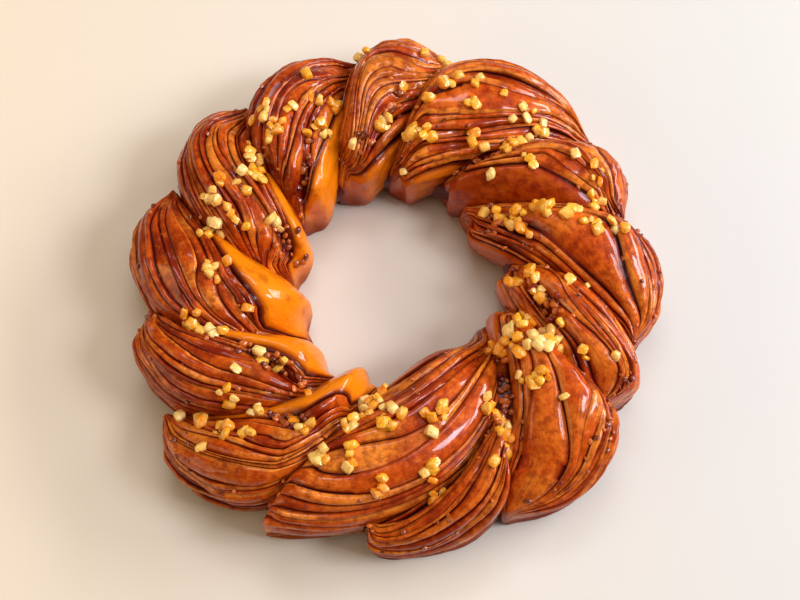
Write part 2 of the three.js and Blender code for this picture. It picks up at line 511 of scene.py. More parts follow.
def colour(value: object) -> object:
    """Make a colour linear.

    Args:
        value: A colour of 0 to 255 as shown on screen, or a socket.

    Returns:
        The linear colour with an alpha of 1, or the socket as it is.
    """
    if not isinstance(value, tuple):
        return value
    linear = []
    for part in value:
        shown = part / 255
        linear.append(shown / 12.92 if shown <= 0.04045 else ((shown + 0.055) / 1.055) ** 2.4)
    return (*linear, 1.0)


@dataclass(frozen=True)
class SyrupPatches:
    """The syrup's effect on what lies under it, a group of nodes that the finishes share.

    Wet and dull each hold a range of the noise and what comes of its two ends.
    """

    name: str = "syrup_patches"
    detail: float = 4.0
    roughness: float = 0.6
    wet: tuple[float, ...] = (0.34, 0.62, 0.35, 1.0)
    dull: tuple[float, ...] = (0.3, 0.7, 0.46, 0.24)

    def group(self) -> bpy.types.NodeTree:
        """Find the group, or make it the first time.

        Returns:
            A group with the input Size, in patches a metre, and the outputs Wet, which is how thick the syrup
            lies, and Dull, which is the roughness under it.
        """
        group = bpy.data.node_groups.get(self.name)
        if group is not None:
            return group
        group = bpy.data.node_groups.new(self.name, "ShaderNodeTree")
        for socket, side in (("Size", "INPUT"), ("Wet", "OUTPUT"), ("Dull", "OUTPUT")):
            group.interface.new_socket(socket, in_out=side, socket_type="NodeSocketFloat")
        nodes = Nodes(group)
        size = nodes.add("NodeGroupInput").outputs["Size"]
        place = nodes.add("ShaderNodeTexCoord").outputs["Object"]
        patches = nodes.noise(place, Grain(size, self.detail, self.roughness))
        nodes.put(nodes.add("NodeGroupOutput"), Wet=nodes.span(patches, *self.wet),
                  Dull=nodes.span(patches, *self.dull))
        return group


@dataclass(frozen=True)
class Finish:
    """What every finish has: a name, a slot and the way it is built."""

    name: str
    slot: Slot

    def start(self) -> tuple[bpy.types.Material, Nodes, bpy.types.Node]:
        """Begin a material.

        Returns:
            The new material, its nodes and its surface shader.
        """
        material = bpy.data.materials.new(self.name)
        material.use_nodes = True
        return material, Nodes(material.node_tree), material.node_tree.nodes["Principled BSDF"]

    def syrup(self, nodes: Nodes, size: float) -> bpy.types.Node:
        """The syrup group's node in this material, with so many patches a metre."""
        return nodes.put(nodes.add("ShaderNodeGroup", node_tree=SyrupPatches().group()), Size=size)


@dataclass(frozen=True)
class CrustFinish(Finish):
    """Baked dough under syrup: golden skin and chestnut layers, with painted shade darkening the grooves, the
    open places and the lower parts.

    Each bump is a height in metres and a strength.
    """

    name: str = "glazed_crust"
    slot: Slot = Slot.CRUST
    skin: Shade = (240, 131, 8)
    skin_dark: Shade = (168, 64, 8)
    layer: Shade = (196, 77, 8)
    layer_dark: Shade = (116, 20, 2)
    layer_light: Shade = (232, 134, 42)
    # Near-black painted shade for the deep grooves.
    groove: Shade = (36, 1, 1)
    # Dark amber: partly syrup pooled in the grooves, partly painted shade low down and in the grooves.
    amber: Shade = (118, 13, 1)
    patches: Grain = Grain(28.0, 4.0)
    blots: Grain = Grain(95.0)
    baked: Grain = Grain(130.0, 5.0, 0.65)
    spots: Grain = Grain(210.0, 4.0, 0.7)
    streaks: Grain = Grain(detail=4.0, roughness=0.6, distortion=0.4, stretch=(130.0, 4.0, 1.0))
    lines: Grain = Grain(roughness=0.5, distortion=0.3, stretch=(420.0, 6.0, 1.0))
    dimples: Grain = Grain(190.0, 2.0, 0.5)
    furrows: Grain = Grain(detail=5.0, roughness=0.65, stretch=(300.0, 14.0, 1.0))
    crumb: Grain = Grain(520.0, 3.0, 0.6)
    dimple_bump: Pair = (0.0014, 0.5)
    furrow_bump: Pair = (0.0007, 0.6)
    crumb_bump: Pair = (0.0005, 0.45)
    syrup_size: float = 60.0
    coat_roughness: float = 0.1
    coat_ior: float = 1.47
    specular: float = 0.08

    def build(self) -> bpy.types.Material:
        """Make the material."""
        material, nodes, surface = self.start()
        coordinates = nodes.add("ShaderNodeTexCoord")
        place, strip = coordinates.outputs["Object"], coordinates.outputs["UV"]
        groove, skin, tone, low = map(nodes.attribute, ("groove", "skin", "tone", "low"))
        patches, streaks = nodes.noise(place, self.patches), nodes.noise(strip, self.streaks)
        layers = self.layers_colour(nodes, tone, patches, streaks)
        layers = self.flecked(nodes, layers, nodes.noise(strip, self.lines), nodes.noise(place, self.spots))
        smooth = self.skin_colour(nodes, tone, patches, streaks, nodes.noise(place, self.baked))
        base = nodes.blend(skin, layers, smooth)
        # Painted shade: dark amber rises towards the bottom, where the lower walls and their contact with the
        # floor lie in shade.
        base = nodes.blend(nodes.maths("MULTIPLY", low, 0.75), base, self.amber)
        # In the shallower grooves the amber is partly pooled syrup and partly painted shade; the deepest
        # grooves get near-black painted shade.
        base = nodes.over(base, self.amber, groove, 0.16, 0.5, at_high=0.8)
        base = nodes.over(base, self.groove, groove, 0.4, 0.85, at_high=0.97)
        base = nodes.over(base, self.layer_dark, nodes.noise(place, self.blots), 0.56, 0.72, at_high=0.45)
        normal = nodes.bump(nodes.noise(place, self.dimples), *self.dimple_bump)
        normal = nodes.bump(nodes.noise(strip, self.furrows), *self.furrow_bump, normal)
        normal = nodes.bump(nodes.noise(place, self.crumb), *self.crumb_bump, normal)
        syrup = self.syrup(nodes, self.syrup_size)
        open_to_light = nodes.span(nodes.maths("MAXIMUM", low, groove), 0.1, 0.9, at_low=1.0, at_high=0.1)
        wet = nodes.maths("MULTIPLY", syrup.outputs["Wet"], open_to_light)
        nodes.put(surface, Base_Color=base, Roughness=syrup.outputs["Dull"], Normal=normal, Coat_Weight=wet,
                  Coat_Roughness=self.coat_roughness, Coat_IOR=self.coat_ior,
                  Specular_IOR_Level=self.specular)
        return material

    def layers_colour(self, nodes: Nodes, tone: Socket, patches: Socket, streaks: Socket) -> Socket:
        """Colour the cut layers.

        Args:
            nodes: The material's nodes.
            tone: How light each layer is.
            patches: Broad noise.
            streaks: Noise along the layers.

        Returns:
            The colour.
        """
        mixed = nodes.maths("ADD", nodes.maths("MULTIPLY", tone, 0.75), nodes.maths("MULTIPLY", streaks, 0.6))
        layers = nodes.over(self.layer_dark, self.layer, mixed, 0.36, 0.68)
        layers = nodes.over(layers, self.layer_light, mixed, 0.74, 1.05, at_high=0.9)
        return nodes.over(layers, self.layer_dark, patches, 0.5, 0.72, at_high=0.5)

    def flecked(self, nodes: Nodes, layers: Socket, lines: Socket, spots: Socket) -> Socket:
        """Draw dark lines and dark and light spots on the layers.

        Args:
            nodes: The material's nodes.
            layers: The layers' colour.
            lines: Fine noise along the layers.
            spots: Fine noise.

        Returns:
            The colour.
        """
        layers = nodes.over(layers, self.layer_dark, lines, 0.56, 0.68, at_high=0.3)
        layers = nodes.over(layers, self.layer_dark, spots, 0.46, 0.62, at_high=0.6)
        return nodes.over(layers, self.layer_light, spots, 0.32, 0.44, at_low=0.35, at_high=0.0)

    def skin_colour(self, nodes: Nodes, tone: Socket, patches: Socket, streaks: Socket,
                    baked: Socket) -> Socket:
        """Colour the smooth skin.

        Args:
            nodes: The material's nodes.
            tone: How light the skin is.
            patches: Broad noise.
            streaks: Noise along the strand.
            baked: Fine noise, for the darkest places.

        Returns:
            The colour.
        """
        golden = nodes.maths("SUBTRACT", nodes.maths("MULTIPLY", tone, 1.5), patches)
        smooth = nodes.over(self.skin_dark, self.skin, golden, -0.2, 0.95)
        smooth = nodes.over(smooth, self.skin_dark, streaks, 0.6, 0.85, at_high=0.3)
        baked = nodes.maths("SUBTRACT", baked, nodes.maths("MULTIPLY", tone, 0.35))
        return nodes.over(smooth, self.layer_dark, baked, 0.4, 0.55, at_high=0.75)


@dataclass(frozen=True)
class PeelFinish(Finish):
    """Candied peel: clear yellow to orange, some cubes pale with sugar."""

    name: str = "candied_peel"
    slot: Slot = Slot.PEEL
    yellow: Shade = (255, 174, 26)
    orange: Shade = (248, 142, 10)
    pale: Shade = (255, 210, 126)
    cloud: Grain = Grain(260.0)
    sugar: Grain = Grain(520.0)
    sugar_bump: Pair = (0.0012, 0.8)
    syrup_size: float = 160.0
    coat_roughness: float = 0.1
    glow: float = 0.3
    glow_radius: Triple = (1.0, 0.7, 0.35)
    glow_depth: float = 0.003

    def build(self) -> bpy.types.Material:
        """Make the material."""
        material, nodes, surface = self.start()
        place = nodes.add("ShaderNodeTexCoord").outputs["Object"]
        tone = nodes.attribute("tone")
        base = nodes.over(self.orange, self.yellow, tone, 0.0, 0.5)
        base = nodes.over(base, self.pale, tone, 0.6, 0.95)
        base = nodes.over(base, self.pale, nodes.noise(place, self.cloud), 0.5, 0.7, at_high=0.6)
        syrup = self.syrup(nodes, self.syrup_size)
        normal = nodes.bump(nodes.noise(place, self.sugar), *self.sugar_bump)
        nodes.put(surface, Base_Color=base, Roughness=syrup.outputs["Dull"], Normal=normal,
                  Coat_Weight=syrup.outputs["Wet"], Coat_Roughness=self.coat_roughness,
                  Subsurface_Weight=self.glow, Subsurface_Radius=self.glow_radius,
                  Subsurface_Scale=self.glow_depth)
        return material


@dataclass(frozen=True)
class FillingFinish(Finish):
    """Sticky filling: amber and dark red bits that gleam."""

    name: str = "amber_filling"
    slot: Slot = Slot.FILLING
    amber: Shade = (204, 98, 16)
    dark: Shade = (112, 38, 10)
    red: Shade = (130, 20, 8)
    cloud: Grain = Grain(420.0, 2.0)
    cloud_bump: Pair = (0.0006, 0.5)
    syrup_size: float = 200.0
    coat_roughness: float = 0.08

    def build(self) -> bpy.types.Material:
        """Make the material."""
        material, nodes, surface = self.start()
        place = nodes.add("ShaderNodeTexCoord").outputs["Object"]
        tone, cloud = nodes.attribute("tone"), nodes.noise(place, self.cloud)
        base = nodes.over(self.dark, self.amber, tone, 0.15, 0.7)
        base = nodes.over(base, self.red, tone, 0.86, 0.94)
        base = nodes.over(base, self.dark, cloud, 0.5, 0.7, at_high=0.6)
        syrup = self.syrup(nodes, self.syrup_size)
        nodes.put(surface, Base_Color=base, Roughness=syrup.outputs["Dull"], Coat_Weight=syrup.outputs["Wet"],
                  Coat_Roughness=self.coat_roughness, Normal=nodes.bump(cloud, *self.cloud_bump))
        return material


@dataclass(frozen=True)
class FloorFinish:
    """Plain pale floor with painted light: a painted warm glow on one side that turns to painted cool light
    on the other, with where it turns in metres along X.
    """

    painted_warm_glow: Shade = (238, 221, 196)
    painted_cool_light: Shade = (204, 200, 193)
    turns: Pair = (-0.25, 0.2)
    roughness: float = 0.85

    def build(self) -> bpy.types.Material:
        """Make the material."""
        material = bpy.data.materials.new("pale_floor")
        material.use_nodes = True
        nodes = Nodes(material.node_tree)
        place = nodes.add("ShaderNodeTexCoord").outputs["Object"]
        side = nodes.put(nodes.add("ShaderNodeSeparateXYZ"), Vector=place).outputs["X"]
        base = nodes.over(self.painted_warm_glow, self.painted_cool_light, side, *self.turns)
        nodes.put(material.node_tree.nodes["Principled BSDF"], Base_Color=base, Roughness=self.roughness)
        return material


# Making pieces


def deselect() -> None:
    """Leave edit mode and select nothing."""
    if bpy.context.object and bpy.context.object.mode != "OBJECT":
        bpy.ops.object.mode_set(mode="OBJECT")
    bpy.ops.object.select_all(action="DESELECT")


def pick(piece: bpy.types.Object) -> None:
    """Select one piece alone and make it active."""
    deselect()
    piece.select_set(True)
    bpy.context.view_layer.objects.active = piece


def placed(name: str, data: bpy.types.ID) -> bpy.types.Object:
    """Put a new object with this data in the scene.

    Args:
        name: Its name.
        data: Its mesh, light or camera.

    Returns:
        The object.
    """
    thing = bpy.data.objects.new(name, data)
    bpy.context.scene.collection.objects.link(thing)
    return thing


def points_of(mesh: bpy.types.Mesh) -> np.ndarray:
    """Read a mesh's vertices.

    Args:
        mesh: The mesh.

    Returns:
        The points, one a row, in the mesh's own units.
    """
    points = np.empty(len(mesh.vertices) * 3)
    mesh.vertices.foreach_get("co", points)
    return points.reshape(-1, 3)


def move_points(mesh: bpy.types.Mesh, points: np.ndarray) -> None:
    """Give a mesh's vertices new places, in millimetres."""
    mesh.vertices.foreach_set("co", (points * MM).astype(np.float32).ravel())


def stored(mesh: bpy.types.Mesh, name: str, values: np.ndarray) -> None:
    """Store one number for each vertex under a name that a finish reads."""
    attribute = mesh.attributes.new(name, "FLOAT", "POINT")
    attribute.data.foreach_set("value", np.ascontiguousarray(values, dtype=np.float32).ravel())


def settle(piece: bpy.types.Object, material: bpy.types.Material) -> None:
    """Dress a piece, join it to the body and let it stand for the plain solid.

    Args:
        piece: The finished piece.
        material: Its finish.
    """
    piece.data.materials.clear()
    piece.data.materials.append(material)
    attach(piece, BODY)
    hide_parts(NODE)
    LOG.info("%s: %d faces", piece.name, len(piece.data.polygons))


@dataclass(frozen=True)
class Pit:
    """A place where the layers stand open, as degrees round the ring and millimetres.

    Its length lies along a heading, in degrees from the frame's X.
    """

    angle: float
    radius: float
    length: float
    width: float
    depth: float
    heading: float

    def ways(self) -> tuple[np.ndarray, np.ndarray]:
        """The level unit vectors along and across it."""
        way = level_way(self.heading)
        return way, np.array([-way[1], way[0]])


PITS = (
    Pit(24, 70, 16, 5.0, 9, 146),
    Pit(52, 84, 14, 3.4, 8, 13),
    Pit(92, 88, 13, 3.4, 8, 60),
    Pit(130, 72, 13, 3.2, 9, 262),
    Pit(160, 60, 13, 4.6, 10, 300),
    Pit(222, 80, 16, 4.6, 9, 328),
    Pit(240, 97, 14, 4.0, 8, 344),
    Pit(313, 90, 18, 3.6, 10, 275),
    Pit(346, 85, 13, 5.0, 9, 300),
)


@dataclass
class Layers:
    """What is drawn for one crossing's layers: rows of numbers along the crossing, but for light.

    The edges and depths are one more than the layers, as they lie between them. Light is how pale the
    far edge of each layer is.
    """

    edges: np.ndarray
    skin_from: np.ndarray
    depth: np.ndarray
    rise: np.ndarray
    lean: np.ndarray
    tones: np.ndarray
    light: np.ndarray


@dataclass
class LayeredCrossing:
    """The mesh of one crossing: cut layers over the top, smooth skin beside the hole, plain underside.

    Lengths are in millimetres and section angles in degrees. A range is the least and the most of a random
    draw, and a wander is a strength and a wavelength along the crossing, in half lengths of it.
    """

    number: int
    crossing: Crossing
    following: Crossing
    seed: int = 4100
    rows: int = 150
    end_crowding: float = 0.11
    cut_from: float = -62.0
    skin_to: float = 208.0
    skin_columns: int = 18
    under_columns: int = 12
    profile: tuple[float, ...] = (0.0, 0.07, 0.22, 0.5, 0.78, 0.93)
    ridge_power: float = 2.6
    section_length: float = 85.0
    half_length: float = 75.0
    degree_length: float = 0.4
    groove_depth: float = 3.6
    crease_depth: float = 1.7
    deep_share: float = 0.42
    least_depth: float = 0.2
    depth_in_width: float = 0.8
    seam_depth: float = 3.0
    width_range: Pair = (0.7, 1.35)
    depth_range: Pair = (0.7, 1.4)
    lean_range: Pair = (-1.1, 1.1)
    tone_range: Pair = (0.3, 1.0)
    tone_limits: Pair = (0.2, 1.0)
    width_wander: Pair = (0.4, 1.5)
    skin_wander: Pair = (2.5, 1.3)
    depth_wander: Pair = (0.4, 0.8)
    rise_wander: Pair = (1.1, 1.1)
    lean_wander: Pair = (0.5, 1.2)
    tone_wander: Pair = (0.2, 0.5)
    swell_wander: Pair = (0.5, 1.2)
    lean_height: float = 0.6
    lean_shift: float = 0.16
    broad_tone: float = 0.61
    broad_mottle: float = 0.3
    broad_lean: float = 0.3
    broad_rise: float = 0.8
    broad_unevenness: float = 0.4
    # The least strength of the painted groove shade, and how deep a groove must be for full painted shade.
    least_groove_shade: float = 0.3
    groove_shade_depth: float = 2.6
    light_edges: tuple[float, ...] = (0.0, 0.0, 0.5, 0.8)
    light_from: float = 0.9
    skin_round: float = 0.14
    lip_height: float = 1.2
    lip_place: float = 0.12
    lip_width: float = 0.16
    fine_relief: float = 0.1
    coarse_relief: float = 0.3
    fine_waves: tuple[float, float, int] = (7.0, 3.2, 14)
    coarse_waves: Pair = (26.0, 12.0)
    fade_share: float = 0.3
    fade_power: float = 0.6
    floor: float = 0.3
    low_heights: Pair = (6.0, 26.0)
    open_heights: Pair = (22.0, 34.0)
    # How strong the painted shade is in the places where the layers stand open.
    open_shade: float = 0.8

    def build(self, material: bpy.types.Material) -> bpy.types.Object:
        """Make, dress and settle the crossing.

        Args:
            material: The crust.

        Returns:
            The finished piece.
        """
        random = np.random.default_rng(self.seed + self.number)
        along = np.linspace(-1.0, 1.0, self.rows)
        share = (along + 1) / 2
        run = share - self.end_crowding * np.sin(2 * np.pi * share)
        form = CrossingForm(self.crossing, self.following)
        columns = self.columns(random, along, form.skin_edge(run))
        degrees, rough = columns["degrees"], columns["rough"]
        turned = np.abs(np.diff(degrees, axis=1, prepend=degrees[:, :1]))
        across_mm = np.cumsum(turned, axis=1) * self.degree_length
        along_mm = np.broadcast_to((along * self.half_length)[:, None], degrees.shape)
        coarse, fine = Ripples(random, *self.coarse_waves), Ripples(random, *self.fine_waves)
        out = columns["out"] + self.fine_relief * fine(along_mm, across_mm) * rough
        out = out + self.coarse_relief * coarse(along_mm, across_mm) * rough
        points = form.surface(run, degrees, out * self.fading(along)[:, None])
        points[..., :2] += RING_MIDDLE
        points, open_here = self.opened(points)
        points[:, -1] = points[:, 0]
        points[0], points[-1] = points[0].mean(0), points[-1].mean(0)
        above = points[..., 2] - self.floor
        points[..., 2] = self.floor + (above + np.sqrt(above ** 2 + 1.0)) / 2
        # How low each point lies, which the crust turns into painted shade towards the bottom.
        least, most = self.low_heights
        columns["low"] = smooth_step(-points[..., 2], -most, -least)
        # Painted shade where the layers stand open, but not on the skin.
        opened_shade = self.open_shade * open_here * (1 - columns["skin"])
        columns["groove"] = np.maximum(columns["groove"], opened_shade)
        piece = self.sheet(points)
        for name in ("groove", "skin", "tone", "low"):
            stored(piece.data, name, columns[name])
        self.close(piece)
        settle(piece, material)
        return piece

    def fading(self, along: np.ndarray) -> np.ndarray:
        """How much of the relief is left towards the ends, where the crossing narrows."""
        return np.minimum(1.0, ((1 - np.abs(along)) / self.fade_share)) ** self.fade_power

    def wander(self, random: Random, kind: Pair, along: np.ndarray, lines: int = 1) -> np.ndarray:
        """Noise along the crossing, of a strength and a wavelength."""
        strength, wavelength = kind
        return strength * Waves(random, wavelength, lines)(along)

    def drawn_layers(self, random: Random, along: np.ndarray, skin_edge: np.ndarray) -> Layers:
        """Draw the layers.

        Args:
            random: The source of random numbers.
            along: Places along the crossing, from -1 to 1.
            skin_edge: The section angle where the skin starts, at each place.

        Returns:
            Their edges, depths, heights and tones.
        """
        count = self.crossing.layers
        shares = random.uniform(*self.width_range, count)
        for index, extra in self.crossing.broad:
            shares[index] *= extra
        widths = shares[:, None] * np.exp(self.wander(random, self.width_wander, along, count))
        edges = np.vstack([np.zeros(len(along)), np.cumsum(widths, 0)])
        edges /= edges[-1]
        skin_from = skin_edge + self.wander(random, self.skin_wander, along)[0]
        depth = np.exp(self.wander(random, self.depth_wander, along, count + 1))
        deep = random.random(count + 1) < self.deep_share
        depth *= np.where(deep, self.groove_depth, self.crease_depth)[:, None]
        depth *= random.uniform(*self.depth_range, (count + 1, 1))
        rise = self.wander(random, self.rise_wander, along, count)
        lean = random.uniform(*self.lean_range, (count, 1))
        lean = lean + self.wander(random, self.lean_wander, along, count)
        tones = random.uniform(*self.tone_range, count)[:, None]
        tones = tones + self.wander(random, self.tone_wander, along, count)
        tones = np.clip(tones - self.crossing.bake, *self.tone_limits)
        for index, _ in self.crossing.broad:
            mottle = self.broad_mottle * (tones[index] - 0.5)
            tones[index] = self.broad_tone - self.crossing.bake + mottle
            lean[index] *= self.broad_lean
            rise[index] = self.broad_rise + self.broad_unevenness * rise[index]
        return Layers(edges, skin_from, depth, rise, lean, tones, random.choice(self.light_edges, count))

    def columns(self, random: Random, along: np.ndarray, skin_edge: np.ndarray) -> dict[str, np.ndarray]:
        """Lay out the section all round: angles, heights and what the finish reads.

        Args:
            random: The source of random numbers.
            along: Places along the crossing, from -1 to 1.
            skin_edge: The section angle where the skin starts, at each place.

        Returns:
            Arrays of rows by columns: degrees, out, the painted groove shade, skin, tone and rough.
        """
        drawn = self.drawn_layers(random, along, skin_edge)
        rows = {name: [] for name in ("degrees", "out", "groove", "skin", "tone", "rough")}

        def column(*values: float | np.ndarray) -> None:
            """Add one column, its values in the order of the names."""
            for name, value in zip(rows, values):
                rows[name].append(value * np.ones(len(along)))

        for i in range(self.crossing.layers):
            width = drawn.edges[i + 1] - drawn.edges[i]
            deepest = self.least_depth + self.depth_in_width * (width * self.section_length)
            for t in self.profile:
                full = (1 - abs(2 * t - 1) ** self.ridge_power) ** 0.5
                down = np.minimum((1 - t) * drawn.depth[i] + t * drawn.depth[i + 1], deepest)
                top = drawn.rise[i] + drawn.lean[i] * (2 * t - 1) * self.lean_height
                tilt = (t - 0.5) * self.lean_shift * np.sign(drawn.lean[i]) * full * width
                at = drawn.edges[i] + t * width + tilt
                # Painted shade: each layer darkens down its sides into the grooves, more where they are deep.
                dark = (1 - full) * np.minimum(1.0, self.least_groove_shade + down / self.groove_shade_depth)
                light = drawn.light[i] * (t > self.light_from)
                column(self.cut_from + (drawn.skin_from - self.cut_from) * at,
                       -down + (down + top) * full, dark * (1 - light), 0.0, drawn.tones[i] + light, 1.0)
        seam = np.minimum(drawn.depth[-1], self.seam_depth)
        # The seam beside the skin is in full painted shade.
        column(drawn.skin_from, -seam, 1.0, 0.3, drawn.tones[-1], 1.0)
        for i in range(1, self.skin_columns + 1):
            t = i / self.skin_columns
            full = min(1.0, (t / self.skin_round)) ** 0.5
            lip = self.lip_height * math.exp(-((t - self.lip_place) / self.lip_width) ** 2)
            top = lip + self.wander(random, self.swell_wander, along)[0] * (1 - t)
            # Painted shade on the skin fades away from the seam.
            column(drawn.skin_from + (self.skin_to - drawn.skin_from) * t, -seam + (seam + top) * full,
                   1 - full, 1.0, self.crossing.skin_tone, 0.5)
        first = rows["out"][0]
        for i in range(1, self.under_columns + 1):
            t = i / self.under_columns
            # Underneath, the painted groove shade comes back near the first layer.
            column(self.skin_to + (FULL_TURN + self.cut_from - self.skin_to) * t,
                   first * smooth_step(t, 0.8, 1.0), smooth_step(t, 0.85, 1.0), 1 - t, 0.5, 0.5 * (1 - t))
        return {name: np.stack(value, 1) for name, value in rows.items()}

    def opened(self, points: np.ndarray) -> tuple[np.ndarray, np.ndarray]:
        """Push the surface down where the layers stand open.

        Args:
            points: The surface, rows by columns by three.

        Returns:
            The new points, and how far each is inside such a place, from 0 to 1.
        """
        inside = np.zeros(points.shape[:2])
        for pit in PITS:
            way, across = pit.ways()
            off = points[..., :2] - polar(pit.angle, pit.radius)
            near = np.exp(-(off @ way / pit.length) ** 2 - (off @ across / pit.width) ** 2)
            up = smooth_step(points[..., 2], *self.open_heights)
            points[..., 2] -= pit.depth * near * up
            inside = np.maximum(inside, near * up)
        return points, inside

    def sheet(self, points: np.ndarray) -> bpy.types.Object:
        """Add a grid and lay it round the section.

        Args:
            points: The surface, rows by columns by three, in millimetres.

        Returns:
            The new object.
        """
        rows, columns = points.shape[:2]
        deselect()
        bpy.ops.mesh.primitive_grid_add(x_subdivisions=columns - 1, y_subdivisions=rows - 1, size=1.0)
        piece = bpy.context.object
        piece.name = piece.data.name = f"crossing_{self.number:02d}"
        if len(piece.data.vertices) != rows * columns:
            raise ValueError(f"the grid has {len(piece.data.vertices)} vertices and not {rows * columns}")
        move_points(piece.data, points)
        return piece

    def close(self, piece: bpy.types.Object) -> None:
        """Join the seam and both ends, turn the faces outwards and smooth the shading."""
        pick(piece)
        bpy.ops.object.mode_set(mode="EDIT")
        bpy.ops.mesh.select_all(action="SELECT")
        bpy.ops.mesh.remove_doubles(threshold=TINY)
        bpy.ops.mesh.normals_make_consistent(inside=False)
        bpy.ops.object.mode_set(mode="OBJECT")
        bpy.ops.object.shade_smooth()


@dataclass
class CoreDough:
    """The dough between the strands and the flat underside, a squashed ring, in millimetres.

    Wall is the share of the height that lies below the widest place, and marks are what the finish reads:
    their groove shade and low values paint the ring dark as painted shade, as it shows only deep in the
    creases and underneath.
    """

    radius: float = 98.0
    half_width: float = 34.0
    height: float = 40.0
    wall: float = 0.5
    flattening: float = 1.6
    segments_round: int = 180
    segments_across: int = 48
    marks: tuple[tuple[str, float], ...] = (("groove", 0.7), ("skin", 0.0), ("tone", 0.3), ("low", 0.6))

    def build(self, material: bpy.types.Material) -> bpy.types.Object:
        """Make, dress and settle the ring.

        Args:
            material: The crust.

        Returns:
            The finished piece.
        """
        deselect()
        bpy.ops.mesh.primitive_torus_add(major_radius=self.radius, minor_radius=self.half_width,
                                         major_segments=self.segments_round,
                                         minor_segments=self.segments_across)
        piece = bpy.context.object
        piece.name = piece.data.name = "core_dough"
        points = points_of(piece.data)
        up = points[:, 2] / self.half_width
        low, high = self.height * self.wall, self.height * (1 - self.wall)
        points[:, 2] = low + np.where(up > 0, high * up, low * np.maximum(self.flattening * up, -1.0))
        points[:, :2] += RING_MIDDLE
        move_points(piece.data, points)
        for name, value in self.marks:
            stored(piece.data, name, np.full(len(points), value))
        bpy.ops.object.shade_smooth()
        settle(piece, material)
        return piece


# Small things on the crust


@dataclass(frozen=True)
class Heap:
    """Some cubes of peel that lie together, as degrees round the ring, millimetres and a count."""

    angle: float
    radius: float
    count: int


HEAPS = tuple(Heap(*row) for row in (
    (9, 127, 1), (11, 121, 2), (12, 110, 4), (17, 105, 5), (20, 122, 4), (25, 125, 4), (32, 119, 1),
    (20, 88, 6), (38, 98, 3), (46, 95, 1), (44, 77, 1), (14, 78, 1), (18, 74, 3), (23, 74, 5), (29, 68, 2),
    (36, 65, 1), (46, 122, 3), (50, 118, 4), (47, 110, 2), (58, 120, 1), (65, 119, 2), (71, 118, 1),
    (74, 111, 2), (64, 105, 3), (50, 100, 4), (55, 91, 1), (59, 90, 2), (75, 79, 3), (79, 78, 4),
    (77, 100, 1), (86, 108, 1), (82, 135, 1), (76, 137, 2), (90, 90, 1), (93, 87, 4), (105, 76, 1),
    (82, 63, 1), (107, 104, 3), (112, 107, 3), (120, 107, 2), (115, 90, 5), (112, 125, 1), (97, 135, 2),
    (127, 114, 5), (128, 101, 6), (132, 99, 1), (136, 106, 3), (139, 100, 3), (143, 95, 4), (144, 88, 2),
    (148, 95, 2), (151, 104, 2), (151, 88, 1), (157, 103, 4), (160, 90, 3), (164, 97, 4), (169, 100, 2),
    (163, 79, 1), (155, 69, 3), (178, 85, 1), (183, 92, 5), (197, 77, 1), (195, 108, 4), (202, 98, 4),
    (215, 134, 2), (220, 126, 2), (226, 136, 1), (227, 121, 5), (232, 113, 2), (220, 108, 4), (217, 96, 1),
    (229, 103, 3), (240, 80, 1), (216, 82, 2), (223, 76, 2), (245, 98, 5), (252, 106, 5), (261, 109, 2),
    (260, 103, 2), (269, 120, 3), (258, 89, 4), (262, 82, 2), (265, 75, 5), (268, 65, 3), (259, 71, 1),
    (271, 87, 4), (272, 81, 4), (282, 123, 3), (282, 111, 4), (284, 94, 1), (283, 85, 2), (289, 84, 3),
    (297, 119, 1), (302, 115, 1), (303, 109, 4), (305, 104, 3), (304, 91, 4), (321, 116, 1), (322, 102, 5),
    (318, 93, 2), (335, 113, 2), (337, 128, 1), (334, 96, 5), (338, 94, 2), (330, 88, 5), (326, 81, 5),
    (324, 73, 4), (334, 74, 4), (339, 77, 3), (349, 82, 2), (353, 78, 3), (355, 67, 2), (354, 105, 1),
    (355, 96, 1),
))


